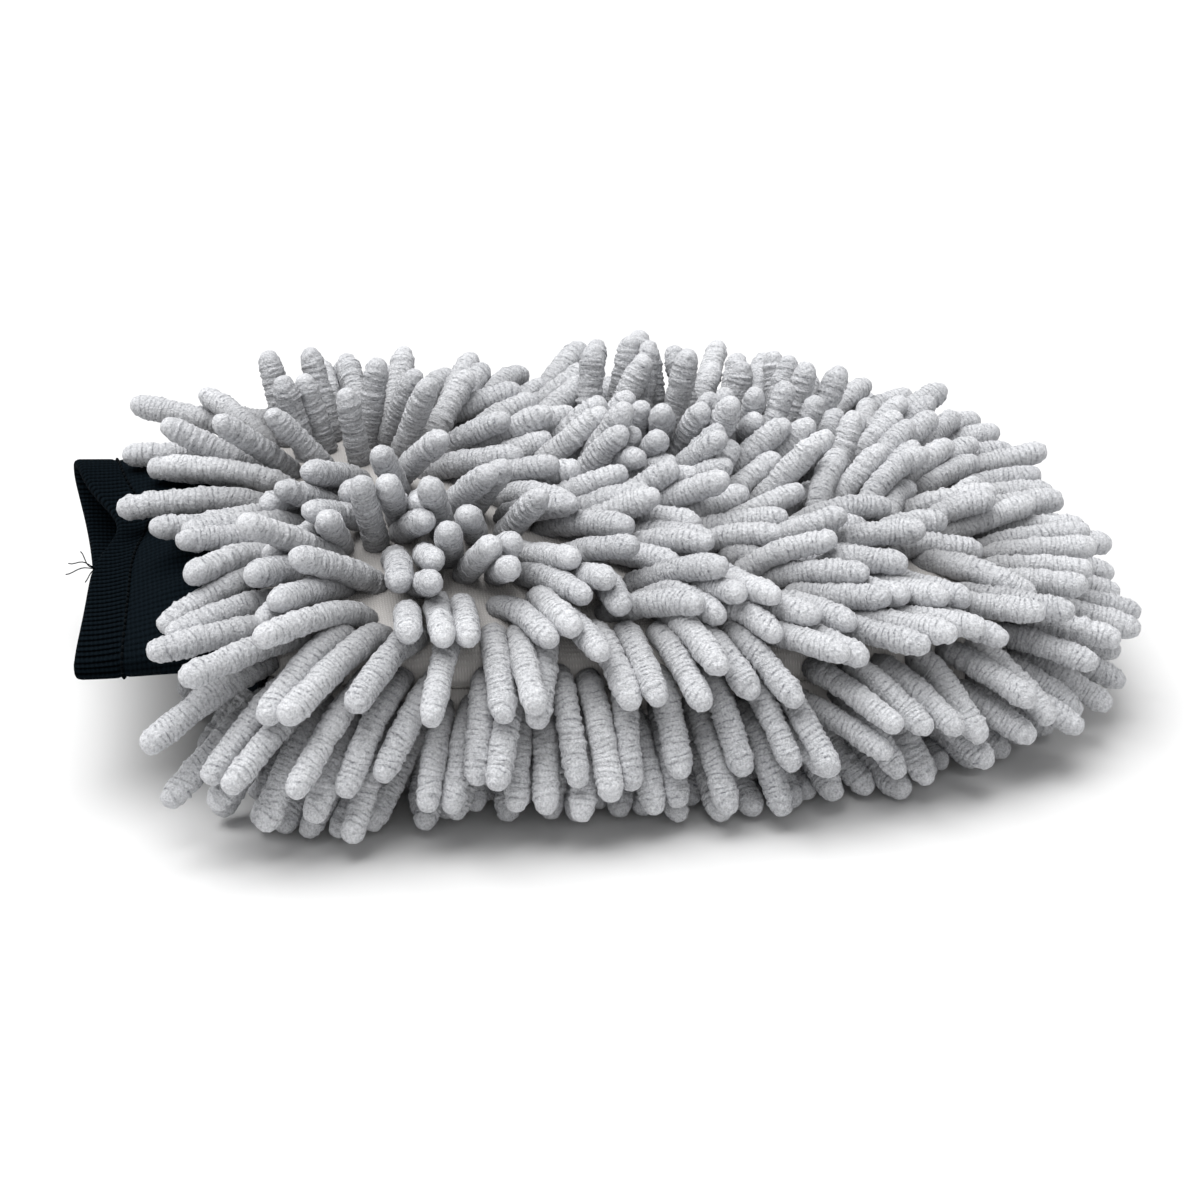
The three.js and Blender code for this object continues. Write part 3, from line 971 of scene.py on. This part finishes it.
def build_rim_welt():
    """The sewn edges of the layers, with a line of stitches, down in the rim's crease."""
    sweep = 0.93 * math.pi
    angles = np.linspace(-sweep, sweep, 420)
    ripple = 0.15 * np.sin(angles * 90)
    rings = []
    for depth, level in ((2.2, 0.3), (2.2, -0.3), (8.0, -0.3), (8.0, 0.3)):
        x, y = outline(angles, -depth)
        x = np.maximum(x, 0.2)
        rings.append(np.stack([x, y, seam_at(x) + level + ripple * (depth < 3)], -1))
    points = np.stack(rings, 1).reshape(-1, 3)
    faces = [tuple(reversed(f)) for f in ring_faces(len(angles), 4) + end_caps(len(angles), 4)]
    stitches = []
    for middle in np.linspace(-sweep, sweep, 210):
        x, y = outline(middle + np.linspace(-0.009, 0.009, 5), -1.9)
        stitches.append(np.stack([np.maximum(x, 0.2), y, seam_at(x) + 0.15], -1))
    more_points, more_faces = threads(stitches, 0.28)
    faces += [tuple(i + len(points) for i in f) for f in more_faces]
    welt = make_mesh("rim_welt", np.concatenate([points, more_points]), faces, PALE_THREAD)
    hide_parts("rim_seam")
    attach(welt, "pouch")


# ---------------------------------------------------------------------- the cuff
RIBS = 116  # round the cuff
RIB_STEPS = 6  # points across a rib


def even_turns(count, x=-20.0):
    """Turns round the cuff that are evenly spaced along the cloth."""
    fine = np.linspace(0, 2 * math.pi, 4001)
    line = cuff_point(x, fine, 0.0)
    length = np.concatenate([[0], np.cumsum(np.linalg.norm(np.diff(line[:, 1:], axis=0), axis=1))])
    return np.interp(np.arange(count) * length[-1] / count, length, fine)


def cuff_profile():
    """The doubled knit from its outside at the wrist, round the fold at the mouth, to
    its inside, and back through the pocket: x, inset and how proud the ribs stand."""
    fold, layer = CUFF_FOLD, CUFF_LAYER
    bend = CUFF_MOUTH + fold
    outside = [(x, 0.0, 1.0) for x in np.linspace(-0.3, bend, 50)]
    turns = np.linspace(0, math.pi, 9)[1:-1]
    lip = [(bend - fold * math.sin(a), fold * (1 - math.cos(a)), math.cos(a)) for a in turns]
    inside = [(x, 2 * fold, -1.0) for x in np.linspace(bend, -3.0, 30)]
    back = [(x, 2 * fold - layer, 0.0) for x in np.linspace(-3.0, bend, 12)]
    slack = fold - layer
    crease = [(bend - slack * math.sin(a), fold + slack * math.cos(a), 0.0) for a in turns[::2]]
    front = [(x, layer, 0.0) for x in np.linspace(bend, -0.3, 12)]
    return outside + lip + inside + back + crease + front


def build_cuff():
    columns = RIBS * RIB_STEPS
    around = even_turns(columns)
    ribs = np.abs(np.cos(np.arange(columns) * math.pi / RIB_STEPS)) ** 0.8
    points, rib_valley_shades = [], []
    for x, inset, proud in cuff_profile():
        hem = ease((HEM_X - x) / 1.5)
        crease = 0.5 * bell((x - HEM_X) / 0.9) * (proud > 0)
        height = (RIB_HEIGHT + HEM_RIB_EXTRA * hem) * proud
        points.append(cuff_point(x, around, inset + crease - height * (ribs - 0.5)))
        # Painted shade for the valleys between the ribs, stronger in the hem, where the ribs stand
        # prouder.
        rib_valley_shades.append((1 - ribs) * (0.45 + 0.55 * hem))
    faces = [tuple(reversed(f)) for f in ring_faces(len(points), columns, closed=True)]
    cuff = make_mesh("rib_cuff", np.concatenate(points), faces, RIB_KNIT)
    note(cuff, "rib_valley_shade", np.concatenate(rib_valley_shades))
    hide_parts("cuff_rib_knit")
    bends(cuff)


def build_elastic():
    """The elastic band inside the hem's fold, with its corded ridges."""
    around = even_turns(480)
    ridges = np.arange(CUFF_MOUTH + 2.6, HEM_X - 1.2, 0.4)
    loop = [(x, 1.38 - 0.10 * (i % 2)) for i, x in enumerate(ridges)]
    loop += [(x, 2.02 + 0.10 * (i % 2)) for i, x in enumerate(ridges[::-1])]
    points = [cuff_point(x, around, inset) for x, inset in loop]
    faces = ring_faces(len(loop), len(around), closed=True)
    band = make_mesh("hem_elastic", np.concatenate(points), faces, ELASTIC)
    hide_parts("cuff_elastic")
    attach(band, "cuff")


def build_hem_stitches():
    """Stitches that close the hem, and a frayed thread end at the mouth."""
    turns = even_turns(5 * HEM_STITCHES)
    paths = []
    for stitch in range(HEM_STITCHES):
        around = turns[5 * stitch : 5 * stitch + 4]
        lift = -0.05 - 0.4 * np.sin(np.linspace(0, math.pi, 4))
        line = [cuff_point(HEM_X, np.array([a]), inset)[0] for a, inset in zip(around, lift)]
        paths.append(line)
    points, faces = threads(paths, 0.34)
    tail_root = cuff_point(CUFF_MOUTH + 1.0, np.array([1.72]), 0.4)[0]
    along = np.linspace(0, 1, 9)[:, None]
    strands = []
    frays = (((-7, 1, 3), 1.2), ((-4, -1, 4), -1.5), ((-8, 2, -1), 1.0), ((-3, 0, -3), 0.8))
    for reach, spread in frays:
        curl = spread * np.sin(along * 5) * np.array([0.2, 0.5, 1.0])
        strands.append(tail_root + along * np.array(reach) + curl * along)
    more_points, more_faces = threads(strands, 0.16, 5)
    faces = faces + [tuple(i + len(points) for i in f) for f in more_faces]
    stitches = make_mesh("hem_stitches", np.concatenate([points, more_points]), faces, BLACK_THREAD)
    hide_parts("cuff_hem_stitching")
    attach(stitches, "cuff")


def build_wrist_overlock():
    """The overlocked seam between the cuff and the pouch: a core and its wrapped loops."""
    count = 720
    around = np.linspace(0, 2 * math.pi, count, endpoint=False)
    core = cuff_point(-0.9, around, -0.9)
    turn = np.arange(count) * 2 * math.pi * OVERLOCK_LOOPS / count
    out = unit(core - core.mean(0)) * [0, 1, 1]
    loops = core + (np.cos(turn)[:, None] * [1.0, 0, 0] + np.sin(turn)[:, None] * unit(out))
    points, faces = threads([core, loops], 0.62, 6, closed=True)
    seam = make_mesh("wrist_overlock", points, faces, BLACK_THREAD)
    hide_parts("wrist_seam")
    bends(seam)


# ------------------------------------------------------------------ put together
def bends(piece):
    """Bakes the piece's placing into its points; the two places across the wrist are worked out but
    not used.
    """
    z = seam_at(0)
    spot(FLEX_START, 0, z)
    spot(FLEX_END, 0, z)
    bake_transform(piece)


def build_pile():
    patches = all_patches()
    pile = Pile(patches)
    pile.settle(SETTLE_TURNS)
    start = 0
    for patch in patches:
        end = start + len(patch.roots)
        piece = build_fingers(patch, pile.beads[start:end], pile.lengths[start:end], CHENILLE)
        if patch.node.startswith("upper_finger_row"):
            bends(piece)
        else:
            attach(piece, "pouch")
        start = end


FLOOR_SHADE = 0.7
SKY_STRENGTH = 0.33


def build_floor():
    bpy.ops.mesh.primitive_plane_add(size=12)
    floor = bpy.context.object
    floor.name = "floor"
    m = Material("white_table", 0.8, 0.1)
    m.shader.inputs["Base Color"].default_value = (*[FLOOR_SHADE] * 3, 1)
    floor.data.materials.append(m.material)


def sun_light(name, towards, strength, spread):
    """Soft light from one side of the sky. spread is its width in degrees."""
    data = bpy.data.lights.new(name, "SUN")
    data.energy, data.angle = strength, math.radians(spread)
    lamp = bpy.data.objects.new(name, data)
    scene.collection.objects.link(lamp)
    lamp.rotation_euler = Vector(towards).to_track_quat("-Z", "Y").to_euler()


def build_lights():
    world = bpy.data.worlds.new("studio")
    scene.world = world
    world.use_nodes = True
    sky = world.node_tree.nodes["Background"]
    sky.inputs["Color"].default_value = (1, 1, 1, 1)
    sky.inputs["Strength"].default_value = SKY_STRENGTH
    sun_light("key", towards=(0.25, -0.05, -1.0), strength=4.1, spread=60)
    sun_light("front", towards=(-0.2, 0.9, -0.55), strength=0.28, spread=50)
    scene.view_settings.view_transform = "Standard"


build_floor()
build_lights()
build_pile()
build_pouch()
build_rim_welt()
build_cuff()
build_elastic()
build_hem_stitches()
build_wrist_overlock()
